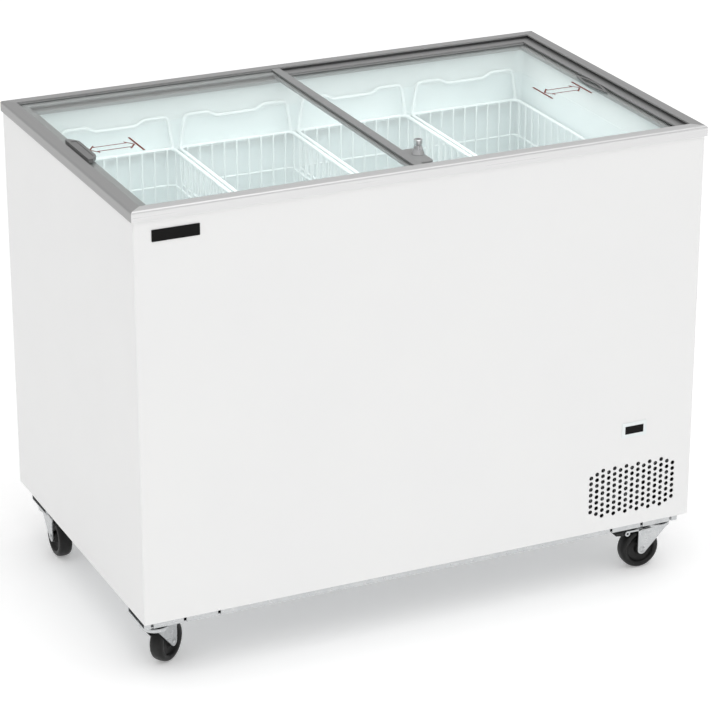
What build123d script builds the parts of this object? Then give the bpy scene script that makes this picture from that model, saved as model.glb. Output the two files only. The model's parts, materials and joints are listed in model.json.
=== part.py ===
"""Ice-cream display chest: a chest freezer with two flat sliding glass lids, on castors.

Millimetres. X is the width, Y the depth with the front at -Y, Z up from the floor.
The origin is the centre of the footprint on the floor.
"""
import os
from math import cos, radians, sin

from build123d import *

os.makedirs("parts", exist_ok=True)

# ---------------------------------------------------------------- driving sizes
width = 1045.0  # top frame, outside
depth = 638.0
height = 837.0  # floor to the top of the frame
casing_bottom = 110.0  # floor to the lower edge of the casing

# top frame section: distances in from the outer face, and down from the top
frame_height = 18.3
frame_overhang = 3.0
frame_edge_radius = 4.5
lip_reach = 22.0
lip_thick = 2.6
upper_groove = 9.0
upper_track_drop = 8.0
upper_track_reach = 38.0
upper_track_thick = 2.6
lower_groove = 28.0
lower_track_drop = 16.5
skirt_reach = 48.0
skirt_thick = 2.5
skirt_drop = 22.6
key_chamber_in = 4.0
key_chamber_wide = 18.0
key_chamber_drop = 11.6
key_chamber_tall = 4.4
key_leg = 60.0
key_fit = 0.1

# casing and tub
casing_thick = 0.8
casing_fold = 14.0
casing_corner = 3.0
base_pan_thick = 1.2
collar_thick = 3.0
collar_drop = 70.0
collar_flange = 12.0
collar_flange_thick = 2.0
liner_thick = 1.0
liner_lap = 4.0
liner_corner = 12.0
floor_insulation = 53.0
bay_width = 235.0
bay_tall = 215.0
bay_insulation = 44.0
bay_sheet = 1.0

# front panel features
grille_columns = 15
grille_longest = 9
grille_pitch_x = 11.7
grille_pitch_z = 10.9
grille_hole = 3.9
grille_from_right = 36.0  # casing edge to the last column
grille_middle = 73.5  # above the casing's lower edge
display_wide = 49.0
display_tall = 28.0
display_from_right = 117.5
display_middle = 186.0
display_proud = 1.6
lens_wide = 36.5
lens_tall = 15.0
lens_recess = 0.4
badge_wide = 82.0
badge_tall = 20.0
badge_thick = 1.2
badge_from_left = 31.0
badge_drop = 17.0

# lids
glass_thick = 4.0
glass_bite = 2.5  # how far the glass enters its edging
slide_gap = 0.3
edging_wide = 8.0
end_gap = 1.0
rail_wide = 16.5
rail_proud = 2.0
lids_meet = -2.5  # right edge of the upper meeting rail
lower_rail_wide = 11.5
lids_overlap = 18.0
grip_long = 114.0
grip_deep = 19.0
upper_grip_tall = 7.0
grip_dish = 1.2
lower_grip_tall = 2.6

# lock
tongue_reach = 24.5
tongue_long = 72.0
tongue_thick = 3.0
tongue_from_front = 35.0
lock_out = 15.0  # meeting rail edge to the lock's axis
lock_from_front = 76.0
lock_tall = 26.0
lock_radius = 7.3
lock_foot_radius = 11.0
plug_radius = 4.0
bolt_radius = 3.0
bolt_throw = 2.6
running_fit = 0.05

# baskets
basket_count = 4
basket_pitch = 228.7
basket_shift = 8.0
basket_wide = 226.0
basket_gap_to_liner = 10.5
basket_rim_drop = 110.0
basket_rim_thick = 5.0
basket_rim_wide = 7.0
basket_deep = 250.0
basket_wall = 3.0
hoop_rise = 60.0
hoop_wire = 3.2
hoop_top_half = 98.0
hoop_dip = 9.0
hoop_dip_half = 44.0
ledge_thick = 3.0
ledge_reach = 15.0
ledge_tall = 16.0

# base and castors
rail_web = 2.0
base_rail_tall = 21.0
base_rail_wide = 76.0
base_rail_setback = 22.5
base_rail_end = 8.0
rear_rail_setback = 42.0
castor_in_x = 39.5  # frame edge to the swivel axis
castor_in_front = 53.0
castor_in_rear = 72.5
wheel_radius = 37.5
wheel_wide = 25.0
wheel_hub = 28.0
castor_trail = 35.0
castor_plate_radius = 20.0
castor_plate_thick = 2.5
stem_radius = 5.0
stem_above = 9.0
stem_nut = 8.5
bolt_head = 7.0
race_radius = 20.0
race_tall = 6.5
crown_thick = 2.8
crown_radius = 25.5
crown_rim = 2.0
crown_rim_tall = 5.0
fork_gap = 29.4
fork_leg = 2.5
axle_radius = 4.0
kingpin_radius = 6.0
pedal_reach = 66.0  # swivel axis to the pedal's pivot
pedal_height = 74.5
pedal_pin = 2.0
lug_radius = 5.0

# drain
drain_x = -380.0
drain_y = -190.0
drain_bore = 12.0
drain_wall = 2.5
spout_wall = 1.5
spout_long = 14.0
plug_grip = 9.0

# ---------------------------------------------------------------- dependent places
half_w = width / 2
half_d = depth / 2
casing_w = half_w - frame_overhang  # half width of the casing
casing_d = half_d - frame_overhang
casing_top = height - frame_height
pan_z = casing_bottom + casing_thick
bay_floor = pan_z + base_pan_thick
collar_in = skirt_reach - skirt_thick  # inner face of the collar, in from the frame
liner_top = height - collar_drop + liner_lap
liner_x = half_w - collar_in  # outer face of the liner
liner_y = half_d - collar_in
liner_floor = bay_floor + floor_insulation
bay_x = casing_w - casing_thick - bay_width
bay_top = bay_floor + bay_tall
step_x = bay_x - bay_insulation
step_z = bay_top + bay_insulation
foam_top = casing_top - collar_flange_thick
casing_back = casing_d - 2 * casing_thick  # inner face of the rear folds


def block(low, high, mode=Mode.ADD):
    """A box between two corners, in the part being built."""
    middle = tuple((a + b) / 2 for a, b in zip(low, high))
    with Locations(middle):
        Box(*(b - a for a, b in zip(low, high)), mode=mode)


def upright(radius, low, tall, x=0.0, y=0.0, mode=Mode.ADD):
    """A vertical cylinder standing on height low."""
    with Locations((x, y, low + tall / 2)):
        Cylinder(radius, tall, mode=mode)


def ring(inset_out, inset_in, low, high, radius):
    """A rounded rectangular band between two distances in from the frame's outer face."""
    with BuildSketch(Plane.XY.offset(low)) as band:
        RectangleRounded(width - 2 * inset_out, depth - 2 * inset_out, radius + inset_in - inset_out)
        RectangleRounded(width - 2 * inset_in, depth - 2 * inset_in, radius, mode=Mode.SUBTRACT)
    extrude(band.sketch, amount=high - low)


def tub(inset, floor, step_side, step_top, top, radius, mode=Mode.ADD):
    """The tub's volume at one distance in from the frame, with its step over the bay."""
    with BuildSketch(Plane.XY.offset(floor)) as well:
        RectangleRounded(width - 2 * inset, depth - 2 * inset, radius)
        with Locations(((half_w + step_side) / 2, 0)):
            Rectangle(half_w - step_side, depth, mode=Mode.SUBTRACT)
    extrude(well.sketch, amount=step_top - floor, mode=mode)
    with BuildSketch(Plane.XY.offset(step_top)) as mouth:
        RectangleRounded(width - 2 * inset, depth - 2 * inset, radius)
    extrude(mouth.sketch, amount=top - step_top, mode=mode)


# ---------------------------------------------------------------- casing
front_y = -casing_d
grille_last_x = casing_w - grille_from_right
grille_z = casing_bottom + grille_middle
display_x = casing_w - display_from_right
display_z = casing_bottom + display_middle
column_counts = [grille_longest - 2] + [grille_longest - 1, grille_longest] * (grille_columns // 2)
column_counts = column_counts[:-1] + [grille_longest - 2]

with BuildPart() as outer_casing:
    with BuildSketch(Plane.XY.offset(casing_bottom)):
        with Locations((0, -casing_thick / 2)):
            Rectangle(2 * casing_w, 2 * casing_d - casing_thick)
        fillet(vertices().group_by(Axis.Y)[0], casing_corner)
    extrude(amount=casing_top - casing_bottom)
    with BuildSketch(Plane.XY.offset(casing_bottom + casing_thick)):
        with Locations((0, -casing_thick / 2)):
            Rectangle(2 * casing_w - 2 * casing_thick, 2 * casing_d - 3 * casing_thick)
        fillet(vertices().group_by(Axis.Y)[0], casing_corner - casing_thick)
    extrude(amount=casing_top - casing_bottom - 2 * casing_thick, mode=Mode.SUBTRACT)
    inside_x = casing_w - casing_fold
    block(
        (-inside_x, -casing_d + casing_fold, casing_bottom - 1),
        (inside_x, casing_d, casing_top + 1),
        Mode.SUBTRACT,
    )
    with BuildSketch(Plane.XZ.offset(casing_d)):
        for column, count in enumerate(column_counts):
            x = grille_last_x - (grille_columns - 1 - column) * grille_pitch_x
            with Locations((x, grille_z)):
                with GridLocations(grille_pitch_x, grille_pitch_z, 1, count):
                    Circle(grille_hole)
        with Locations((display_x, display_z)):
            Rectangle(display_wide - 4, display_tall - 4)
    extrude(amount=-casing_thick, mode=Mode.SUBTRACT)
outer_casing.part.label = "outer_casing"
export_step(outer_casing.part, "parts/outer_casing.step")

cover_x0 = bay_x + 18
cover_x1 = casing_w - 24
cover_z0 = bay_floor + 14
cover_z1 = bay_top - 12
cover_thick = 1.0
cover_lap = 10.0
gland_x = cover_x0 + 30
gland_z = cover_z0 + 24
gland_radius = 9.0
panel_y0 = casing_d - casing_thick

with BuildPart() as rear_panel:
    block((-casing_w, panel_y0, casing_bottom), (casing_w, casing_d, casing_top))
    block(
        (cover_x0 + cover_lap, panel_y0 - 1, cover_z0 + cover_lap),
        (cover_x1 - cover_lap, casing_d + 1, cover_z1 - cover_lap),
        Mode.SUBTRACT,
    )
rear_panel.part.label = "rear_panel"
export_step(rear_panel.part, "parts/rear_panel.step")

louvre_rows = 7
louvre_columns = 3
with BuildPart() as bay_cover:
    block((cover_x0, casing_d, cover_z0), (cover_x1, casing_d + cover_thick, cover_z1))
    with BuildSketch(Plane.XZ.offset(-casing_d - cover_thick)):
        with Locations(((cover_x0 + cover_x1) / 2, (cover_z0 + cover_z1) / 2 + 22)):
            with GridLocations(50, 16, louvre_columns, louvre_rows):
                SlotOverall(40, 6)
        with Locations((gland_x, gland_z)):
            Circle(gland_radius)
    extrude(amount=cover_thick, mode=Mode.SUBTRACT)
bay_cover.part.label = "bay_cover"
export_step(bay_cover.part, "parts/bay_cover.step")

with BuildPart() as mains_gland:
    with BuildSketch(Plane.XZ.offset(-casing_d - cover_thick)):
        with Locations((gland_x, gland_z)):
            Circle(gland_radius + 3)
    extrude(amount=-1.6)
    with BuildSketch(Plane.XZ.offset(-casing_d - cover_thick)):
        with Locations((gland_x, gland_z)):
            Circle(gland_radius)
    extrude(amount=14)
    with BuildSketch(Plane.XZ.offset(-casing_d - cover_thick - 2)):
        with Locations((gland_x, gland_z)):
            Circle(3.6)
    extrude(amount=20, mode=Mode.SUBTRACT)
mains_gland.part.label = "mains_gland"
export_step(mains_gland.part, "parts/mains_gland.step")

with BuildPart() as base_pan:
    pan_w = casing_w - casing_thick
    block((-pan_w, -casing_d + casing_thick, pan_z), (pan_w, casing_back, bay_floor))
    fillet(edges().filter_by(Axis.Z).group_by(Axis.Y)[0], casing_corner - casing_thick)
    upright(drain_bore + drain_wall, pan_z - 1, 4, drain_x, drain_y, Mode.SUBTRACT)
    with Locations(((bay_x + casing_w) / 2, 0, pan_z)):
        with GridLocations(24, 24, 7, 5):
            Cylinder(5, 8, mode=Mode.SUBTRACT)
base_pan.part.label = "base_pan"
export_step(base_pan.part, "parts/base_pan.step")

# ---------------------------------------------------------------- tub
with BuildPart() as inner_liner:
    tub(collar_in, liner_floor, step_x, step_z, liner_top, liner_corner)
    tub(
        collar_in + liner_thick,
        liner_floor + liner_thick,
        step_x - liner_thick,
        step_z + liner_thick,
        liner_top + 1,
        liner_corner - liner_thick,
        Mode.SUBTRACT,
    )
    upright(drain_bore + drain_wall, liner_floor - 1, 4, drain_x, drain_y, Mode.SUBTRACT)
inner_liner.part.label = "inner_liner"
export_step(inner_liner.part, "parts/inner_liner.step")

with BuildPart() as collar:
    ring(collar_in - collar_thick, collar_in, height - collar_drop, casing_top, liner_corner)
    ring(collar_in - collar_thick - collar_flange, collar_in, foam_top, casing_top, liner_corner)
    block((-liner_x, -liner_y, height - skirt_drop), (liner_x, liner_y, casing_top + 1), Mode.SUBTRACT)
collar.part.label = "collar"
export_step(collar.part, "parts/collar.step")

with BuildPart() as bay_wall:
    wall_y = casing_d - casing_corner
    block((bay_x - bay_sheet, -wall_y, bay_floor), (bay_x, casing_back, bay_top + bay_sheet))
    block((bay_x, -wall_y, bay_top), (casing_w - casing_thick, casing_back, bay_top + bay_sheet))
bay_wall.part.label = "bay_wall"
export_step(bay_wall.part, "parts/bay_wall.step")

coil_radius = 4.0
coil_bed = 0.4
coil_turns = 6
coil_low = step_z + 40
coil_high = height - collar_drop - 40
coil_pitch = (coil_high - coil_low) / (coil_turns - 1)
coil_x = liner_x + coil_radius + coil_bed
coil_y = liner_y + coil_radius + coil_bed
with BuildPart() as evaporator:
    for turn in range(coil_turns):
        level = coil_low + turn * coil_pitch
        with BuildLine(Plane.XY.offset(level)) as loop:
            corner = liner_corner + coil_radius
            FilletPolyline(
                (coil_x, coil_y), (coil_x, -coil_y), (-coil_x, -coil_y), (-coil_x, coil_y),
                radius=corner, close=True,
            )
        with BuildSketch(Plane(origin=loop.line @ 0, z_dir=loop.line % 0)):
            Circle(coil_radius)
        sweep(path=loop.line)
    for turn in range(coil_turns - 1):
        side = 60 if turn % 2 else -60
        upright(coil_radius - 0.5, coil_low + turn * coil_pitch, coil_pitch, side, coil_y)
evaporator.part.label = "evaporator"
export_step(evaporator.part, "parts/evaporator.step")

with BuildPart() as foam_insulation:
    foam_w = casing_w - casing_thick
    block((-foam_w, -casing_d + casing_thick, bay_floor), (foam_w, casing_back, foam_top))
    tub(collar_in, liner_floor, step_x, step_z, foam_top + 1, liner_corner, Mode.SUBTRACT)
    block((-liner_x, -liner_y, height - skirt_drop), (liner_x, liner_y, foam_top + 1), Mode.SUBTRACT)
    block((bay_x - bay_sheet, -half_d, bay_floor - 1), (half_w, half_d, bay_top + bay_sheet), Mode.SUBTRACT)
    upright(drain_bore + drain_wall, bay_floor - 1, floor_insulation + 2, drain_x, drain_y, Mode.SUBTRACT)
    add(collar.part, mode=Mode.SUBTRACT)
    add(evaporator.part, mode=Mode.SUBTRACT)
    front_edges = edges().filter_by(Axis.Z).group_by(Axis.Y)[0]
    fillet(front_edges, casing_corner - casing_thick)
foam_insulation.part.label = "foam_insulation"
export_step(foam_insulation.part, "parts/foam_insulation.step")

with BuildPart() as drain_tube:
    tube_low = casing_bottom - spout_long
    upright(drain_bore + spout_wall, tube_low, spout_long, drain_x, drain_y)
    tube_tall = liner_floor + liner_thick - casing_bottom
    upright(drain_bore + drain_wall, casing_bottom, tube_tall, drain_x, drain_y)
    upright(drain_bore, tube_low - 1, liner_floor - tube_low + 5, drain_x, drain_y, Mode.SUBTRACT)
drain_tube.part.label = "drain_tube"
export_step(drain_tube.part, "parts/drain_tube.step")

with BuildPart() as drain_plug:
    plug_z = liner_floor + liner_thick
    upright(drain_bore - running_fit, plug_z - 14, 14 + slide_gap, drain_x, drain_y)
    upright(drain_bore + drain_wall + 2, plug_z + slide_gap, 3, drain_x, drain_y)
    upright(4, plug_z + slide_gap + 3, plug_grip, drain_x, drain_y)
    fillet(edges().group_by(Axis.Z)[-1], 1.5)
drain_plug.part.label = "drain_plug"
export_step(drain_plug.part, "parts/drain_plug.step")

# ---------------------------------------------------------------- top frame
# the section runs (in from the outer face, up from the frame's underside)


def frame_rail(along_x, sign):
    """One mitred rail: the section along X or along Y, on the side given by sign."""
    length = width if along_x else depth
    half = half_d if along_x else half_w
    side = Plane.YZ if along_x else Plane.XZ
    with BuildPart() as rail:
        with BuildSketch(side.offset(-length / 2)):
            with BuildLine():
                Polyline(
                    *(
                        (sign * (half - inward), height - drop)
                        for inward, drop in (
                            (0, frame_height),
                            (0, 0),
                            (lip_reach, 0),
                            (lip_reach, lip_thick),
                            (upper_groove, lip_thick),
                            (upper_groove, upper_track_drop),
                            (upper_track_reach, upper_track_drop),
                            (upper_track_reach, upper_track_drop + upper_track_thick),
                            (lower_groove, upper_track_drop + upper_track_thick),
                            (lower_groove, lower_track_drop),
                            (skirt_reach, lower_track_drop),
                            (skirt_reach, skirt_drop),
                            (skirt_reach - skirt_thick, skirt_drop),
                            (skirt_reach - skirt_thick, frame_height),
                        )
                    ),
                    close=True,
                )
            make_face()
            outer = vertices().sort_by(Axis.X if sign > 0 else Axis.X.reverse())[-2:]
            fillet(outer.sort_by(Axis.Y)[-1], frame_edge_radius)
            chamber_middle = sign * (half - key_chamber_in - key_chamber_wide / 2)
            with Locations((chamber_middle, height - key_chamber_drop - key_chamber_tall / 2)):
                Rectangle(key_chamber_wide, key_chamber_tall, mode=Mode.SUBTRACT)
        extrude(amount=length)
        with BuildSketch(Plane.XY.offset(height - 2 * frame_height)):
            with BuildLine():
                reach = min(half_w, half_d)
                if along_x:
                    Polyline(
                        (-half_w, sign * half_d), (half_w, sign * half_d),
                        (half_w - reach, sign * (half_d - reach)), (reach - half_w, sign * (half_d - reach)),
                        close=True,
                    )
                else:
                    Polyline(
                        (sign * half_w, -half_d), (sign * half_w, half_d),
                        (sign * (half_w - reach), half_d - reach),
                        close=True,
                    )
            make_face()
        extrude(amount=3 * frame_height, mode=Mode.INTERSECT)
    return rail.part


for rail_name, along_x, sign in (
    ("front_rail", True, -1),
    ("rear_rail", True, 1),
    ("left_rail", False, -1),
    ("right_rail", False, 1),
):
    rail_part = frame_rail(along_x, sign)
    rail_part.label = rail_name
    export_step(rail_part, f"parts/{rail_name}.step")

with BuildPart() as frame_corner_keys:
    key_out = key_chamber_in + key_fit
    key_in = key_chamber_in + key_chamber_wide - key_fit
    key_z = height - key_chamber_drop - key_chamber_tall + key_fit
    key_tall = key_chamber_tall - 2 * key_fit
    for side_x in (-1, 1):
        for side_y in (-1, 1):
            with BuildSketch(Plane.XY.offset(key_z)):
                with BuildLine():
                    Polyline(
                        *(
                            (side_x * (half_w - a), side_y * (half_d - b))
                            for a, b in (
                                (key_out, key_out),
                                (key_out + key_leg, key_out),
                                (key_out + key_leg, key_in),
                                (key_in, key_in),
                                (key_in, key_out + key_leg),
                                (key_out, key_out + key_leg),
                            )
                        ),
                        close=True,
                    )
                make_face()
            extrude(amount=key_tall)
frame_corner_keys.part.label = "frame_corner_keys"
export_step(frame_corner_keys.part, "parts/frame_corner_keys.step")

# ---------------------------------------------------------------- sliding lids
upper_low = height - upper_track_drop + slide_gap
upper_high = height - lip_thick - slide_gap
upper_glass_z = (upper_low + upper_high) / 2 - glass_thick / 2
lower_low = height - lower_track_drop + slide_gap
lower_high = height - upper_track_drop - upper_track_thick - slide_gap
lower_glass_z = (lower_low + lower_high) / 2 - glass_thick / 2
upper_left = -(half_w - upper_groove - end_gap)
upper_y = half_d - upper_groove - end_gap
lower_right = half_w - lower_groove - end_gap
lower_y = half_d - lower_groove - end_gap
lower_left = lids_meet - lids_overlap
upper_rail_x0 = lids_meet - rail_wide
lower_rail_x1 = lower_left + lower_rail_wide
lips_y = half_d - lip_reach - slide_gap

with BuildPart() as upper_glass:
    block(
        (upper_left + glass_bite, -upper_y + glass_bite, upper_glass_z),
        (lids_meet - glass_bite, upper_y - glass_bite, upper_glass_z + glass_thick),
    )
upper_glass.part.label = "upper_glass"
export_step(upper_glass.part, "parts/upper_glass.step")

upper_strip = lip_reach - upper_groove + 3.0
with BuildPart() as upper_edging:
    block((upper_left, -upper_y, upper_low), (upper_rail_x0, upper_y, upper_high))
    block(
        (upper_left + edging_wide, -upper_y + upper_strip, upper_low - 1),
        (half_w, upper_y - upper_strip, upper_high + 1),
        Mode.SUBTRACT,
    )
    add(upper_glass.part, mode=Mode.SUBTRACT)
upper_edging.part.label = "upper_edging"
export_step(upper_edging.part, "parts/upper_edging.step")

with BuildPart() as upper_meeting_rail:
    block((upper_rail_x0, -upper_y, upper_low), (lids_meet, upper_y, upper_high))
    block((upper_rail_x0, -lips_y, upper_low), (lids_meet, lips_y, upper_high + rail_proud))
    fillet(edges().filter_by(Axis.Y).group_by(Axis.Z)[-1], 1.2)
    add(upper_glass.part, mode=Mode.SUBTRACT)
upper_meeting_rail.part.label = "upper_meeting_rail"
export_step(upper_meeting_rail.part, "parts/upper_meeting_rail.step")

grip_from_edge = 26.0
with BuildPart() as upper_grip:
    grip_x0 = -half_w + grip_from_edge
    grip_z = upper_glass_z + glass_thick
    with BuildSketch(Plane.XY.offset(grip_z)):
        with BuildLine():
            Polyline(
                (grip_x0, -grip_long / 2), (grip_x0, grip_long / 2),
                (grip_x0 + grip_deep * 0.4, grip_long / 2), (grip_x0 + grip_deep, grip_long / 2 - 16),
                (grip_x0 + grip_deep, 16 - grip_long / 2), (grip_x0 + grip_deep * 0.4, -grip_long / 2),
                close=True,
            )
        make_face()
        fillet(vertices().group_by(Axis.X)[-1], 10)
    extrude(amount=upper_grip_tall)
    block(
        (grip_x0 + 4, 14 - grip_long / 2, grip_z + upper_grip_tall - grip_dish),
        (grip_x0 + grip_deep - 5, grip_long / 2 - 14, grip_z + upper_grip_tall + 1),
        Mode.SUBTRACT,
    )
upper_grip.part.label = "upper_grip"
export_step(upper_grip.part, "parts/upper_grip.step")

with BuildPart() as lower_glass:
    block(
        (lower_left + glass_bite, -lower_y + glass_bite, lower_glass_z),
        (lower_right - glass_bite, lower_y - glass_bite, lower_glass_z + glass_thick),
    )
lower_glass.part.label = "lower_glass"
export_step(lower_glass.part, "parts/lower_glass.step")

lower_strip = upper_track_reach - lower_groove + 4.0
with BuildPart() as lower_edging:
    block((lower_rail_x1, -lower_y, lower_low), (lower_right, lower_y, lower_high))
    block(
        (-half_w, -lower_y + lower_strip, lower_low - 1),
        (lower_right - edging_wide, lower_y - lower_strip, lower_high + 1),
        Mode.SUBTRACT,
    )
    add(lower_glass.part, mode=Mode.SUBTRACT)
lower_edging.part.label = "lower_edging"
export_step(lower_edging.part, "parts/lower_edging.step")

with BuildPart() as lower_meeting_rail:
    block((lower_left, -lower_y, lower_low), (lower_rail_x1, lower_y, lower_high))
    add(lower_glass.part, mode=Mode.SUBTRACT)
lower_meeting_rail.part.label = "lower_meeting_rail"
export_step(lower_meeting_rail.part, "parts/lower_meeting_rail.step")

brush_wide = 4.0
brush_y = half_d - upper_track_reach - slide_gap - 0.5
with BuildPart() as brush_seal:
    brush_x = (lower_left + lower_rail_x1) / 2
    block(
        (brush_x - brush_wide / 2, -brush_y, lower_high),
        (brush_x + brush_wide / 2, brush_y, upper_low - slide_gap),
    )
brush_seal.part.label = "brush_seal"
export_step(brush_seal.part, "parts/brush_seal.step")

with BuildPart() as lower_grip:
    lens_x = lower_right - edging_wide - grip_deep / 2 - 1
    lens_bulge = grip_deep / 2
    with BuildSketch(Plane.XY.offset(lower_glass_z + glass_thick)):
        with BuildLine():
            ThreePointArc((lens_x, -grip_long / 2), (lens_x + lens_bulge, 0), (lens_x, grip_long / 2))
            ThreePointArc((lens_x, grip_long / 2), (lens_x - lens_bulge, 0), (lens_x, -grip_long / 2))
        make_face()
        with BuildLine():
            inner_long = grip_long / 2 - 16
            ThreePointArc((lens_x, -inner_long), (lens_x + lens_bulge - 3, 0), (lens_x, inner_long))
            ThreePointArc((lens_x, inner_long), (lens_x - lens_bulge + 3, 0), (lens_x, -inner_long))
        make_face(mode=Mode.SUBTRACT)
    extrude(amount=lower_grip_tall)
lower_grip.part.label = "lower_grip"
export_step(lower_grip.part, "parts/lower_grip.step")

# ---------------------------------------------------------------- lock
lock_x = lids_meet + lock_out
lock_y = -half_d + lock_from_front
tongue_low = upper_high + rail_proud - tongue_thick - 1.2
tongue_top = tongue_low + tongue_thick
with BuildPart() as lock_bracket:
    tongue_y = -half_d + tongue_from_front
    block((lids_meet, tongue_y, tongue_low), (lids_meet + tongue_reach, tongue_y + tongue_long, tongue_top))
    fillet(edges().filter_by(Axis.Z).group_by(Axis.X)[-1], 6)
    upright(bolt_radius + 0.3, tongue_low - 1, tongue_thick + 2, lock_x, lock_y, Mode.SUBTRACT)
lock_bracket.part.label = "lock_bracket"
export_step(lock_bracket.part, "parts/lock_bracket.step")

with BuildPart() as lock_barrel:
    with BuildSketch(Plane.XZ.offset(-lock_y)):
        with BuildLine():
            Polyline(
                (lock_x + plug_radius, tongue_top),
                (lock_x + lock_foot_radius, tongue_top),
                (lock_x + lock_foot_radius, tongue_top + 1.5),
                (lock_x + lock_radius + 0.6, tongue_top + 10),
                (lock_x + lock_radius - 0.5, tongue_top + 16),
                (lock_x + lock_radius - 0.5, tongue_top + 18),
                (lock_x + lock_radius, tongue_top + 19),
                (lock_x + lock_radius, tongue_top + lock_tall - 1),
                (lock_x + lock_radius - 1, tongue_top + lock_tall),
                (lock_x + plug_radius, tongue_top + lock_tall),
                close=True,
            )
        make_face()
    revolve(axis=Axis((lock_x, lock_y, 0), (0, 0, 1)))
lock_barrel.part.label = "lock_barrel"
export_step(lock_barrel.part, "parts/lock_barrel.step")

plug_long = 16.0
with BuildPart() as lock_cylinder:
    plug_top = tongue_top + lock_tall - 0.6
    upright(plug_radius - running_fit, plug_top - plug_long, plug_long, lock_x, lock_y)
    block(
        (lock_x - 2.8, lock_y - 0.6, plug_top - 8),
        (lock_x + 2.8, lock_y + 0.6, plug_top + 1),
        Mode.SUBTRACT,
    )
lock_cylinder.part.label = "lock_cylinder"
export_step(lock_cylinder.part, "parts/lock_cylinder.step")

with BuildPart() as lock_bolt:
    bolt_tip = height - lower_track_drop + slide_gap * 2 + (lower_high - lower_low) + bolt_throw
    upright(bolt_radius, bolt_tip, plug_top - plug_long - running_fit - bolt_tip, lock_x, lock_y)
lock_bolt.part.label = "lock_bolt"
export_step(lock_bolt.part, "parts/lock_bolt.step")

# ---------------------------------------------------------------- baskets
rim_top = height - basket_rim_drop
rim_y = half_d - collar_in - liner_thick - basket_gap_to_liner
tub_x = basket_wide / 2 - basket_rim_wide / 2
tub_y = rim_y - basket_rim_wide
ledge_top = rim_top - basket_rim_thick - slide_gap
hoop_y = rim_y - hoop_wire - 0.5
hoop_foot = rim_top - basket_rim_thick / 2
hoop_top = rim_top + hoop_rise - hoop_wire

for index in range(basket_count):
    basket_x = basket_shift + (index - (basket_count - 1) / 2) * basket_pitch
    with BuildPart() as basket:
        block(
            (basket_x - basket_wide / 2, -rim_y, rim_top - basket_rim_thick),
            (basket_x + basket_wide / 2, rim_y, rim_top),
        )
        fillet(edges().filter_by(Axis.Z), 14)
        block((basket_x - tub_x, -tub_y, rim_top - basket_deep), (basket_x + tub_x, tub_y, rim_top - 1))
        block(
            (basket_x - tub_x + basket_wall, -tub_y + basket_wall, rim_top - basket_deep + basket_wall),
            (basket_x + tub_x - basket_wall, tub_y - basket_wall, rim_top + 1),
            Mode.SUBTRACT,
        )
        for side in (-1, 1):
            with BuildLine(Plane.XZ.offset(-side * hoop_y)) as hoop:
                foot_half = basket_wide / 2 - hoop_wire - 2
                FilletPolyline(
                    (basket_x - foot_half, hoop_foot),
                    (basket_x - hoop_top_half, hoop_top),
                    (basket_x - hoop_dip_half - 8, hoop_top),
                    (basket_x - hoop_dip_half + 8, hoop_top - hoop_dip),
                    (basket_x + hoop_dip_half - 8, hoop_top - hoop_dip),
                    (basket_x + hoop_dip_half + 8, hoop_top),
                    (basket_x + hoop_top_half, hoop_top),
                    (basket_x + foot_half, hoop_foot),
                    radius=7,
                )
            with BuildSketch(Plane(origin=hoop.line @ 0, z_dir=hoop.line % 0)):
                Circle(hoop_wire)
            sweep(path=hoop.line)
    basket.part.label = f"basket_{index + 1}"
    export_step(basket.part, f"parts/basket_{index + 1}.step")

with BuildPart() as basket_ledges:
    ledge_wall = liner_y - liner_thick
    ledge_x = liner_x - liner_corner - 4
    for side in (-1, 1):
        back = side * ledge_wall
        block(
            (-ledge_x, min(back, back - side * ledge_reach), ledge_top - ledge_thick),
            (ledge_x, max(back, back - side * ledge_reach), ledge_top),
        )
        block(
            (-ledge_x, min(back, back - side * ledge_thick), ledge_top - ledge_tall),
            (ledge_x, max(back, back - side * ledge_thick), ledge_top),
        )
basket_ledges.part.label = "basket_ledges"
export_step(basket_ledges.part, "parts/basket_ledges.step")

# ---------------------------------------------------------------- badge and display
badge_x = -casing_w + badge_from_left
badge_z = casing_top - badge_drop
with BuildPart() as badge:
    block((badge_x, front_y - badge_thick, badge_z - badge_tall), (badge_x + badge_wide, front_y, badge_z))
    fillet(edges().filter_by(Axis.Y), 1)
badge.part.label = "badge"
export_step(badge.part, "parts/badge.step")

with BuildPart() as display_bezel:
    with BuildSketch(Plane.XZ.offset(casing_d)):
        with Locations((display_x, display_z)):
            RectangleRounded(display_wide, display_tall, 2)
    extrude(amount=display_proud)
    with BuildSketch(Plane.XZ.offset(casing_d + display_proud)):
        with Locations((display_x, display_z)):
            Rectangle(lens_wide, lens_tall)
    extrude(amount=-display_proud, mode=Mode.SUBTRACT)
display_bezel.part.label = "display_bezel"
export_step(display_bezel.part, "parts/display_bezel.step")

with BuildPart() as display_lens:
    block(
        (display_x - lens_wide / 2, front_y - display_proud + lens_recess, display_z - lens_tall / 2),
        (display_x + lens_wide / 2, front_y, display_z + lens_tall / 2),
    )
display_lens.part.label = "display_lens"
export_step(display_lens.part, "parts/display_lens.step")

controller_deep = 52.0
with BuildPart() as controller:
    with BuildSketch(Plane.XZ.offset(casing_d)):
        with Locations((display_x, display_z)):
            Rectangle(display_wide - 5, display_tall - 5)
    extrude(amount=-controller_deep)
controller.part.label = "controller"
export_step(controller.part, "parts/controller.step")

# ---------------------------------------------------------------- refrigeration unit
unit_x = (bay_x + casing_w) / 2
compressor_y = 95.0
compressor_radius = 74.0
compressor_tall = 160.0
grommet_tall = 12.0
foot_thick = 3.0
foot_z = bay_floor + grommet_tall
foot_x = 85.0
foot_y = 52.0
body_z = foot_z + foot_thick
pipe_radius = 3.2

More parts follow.
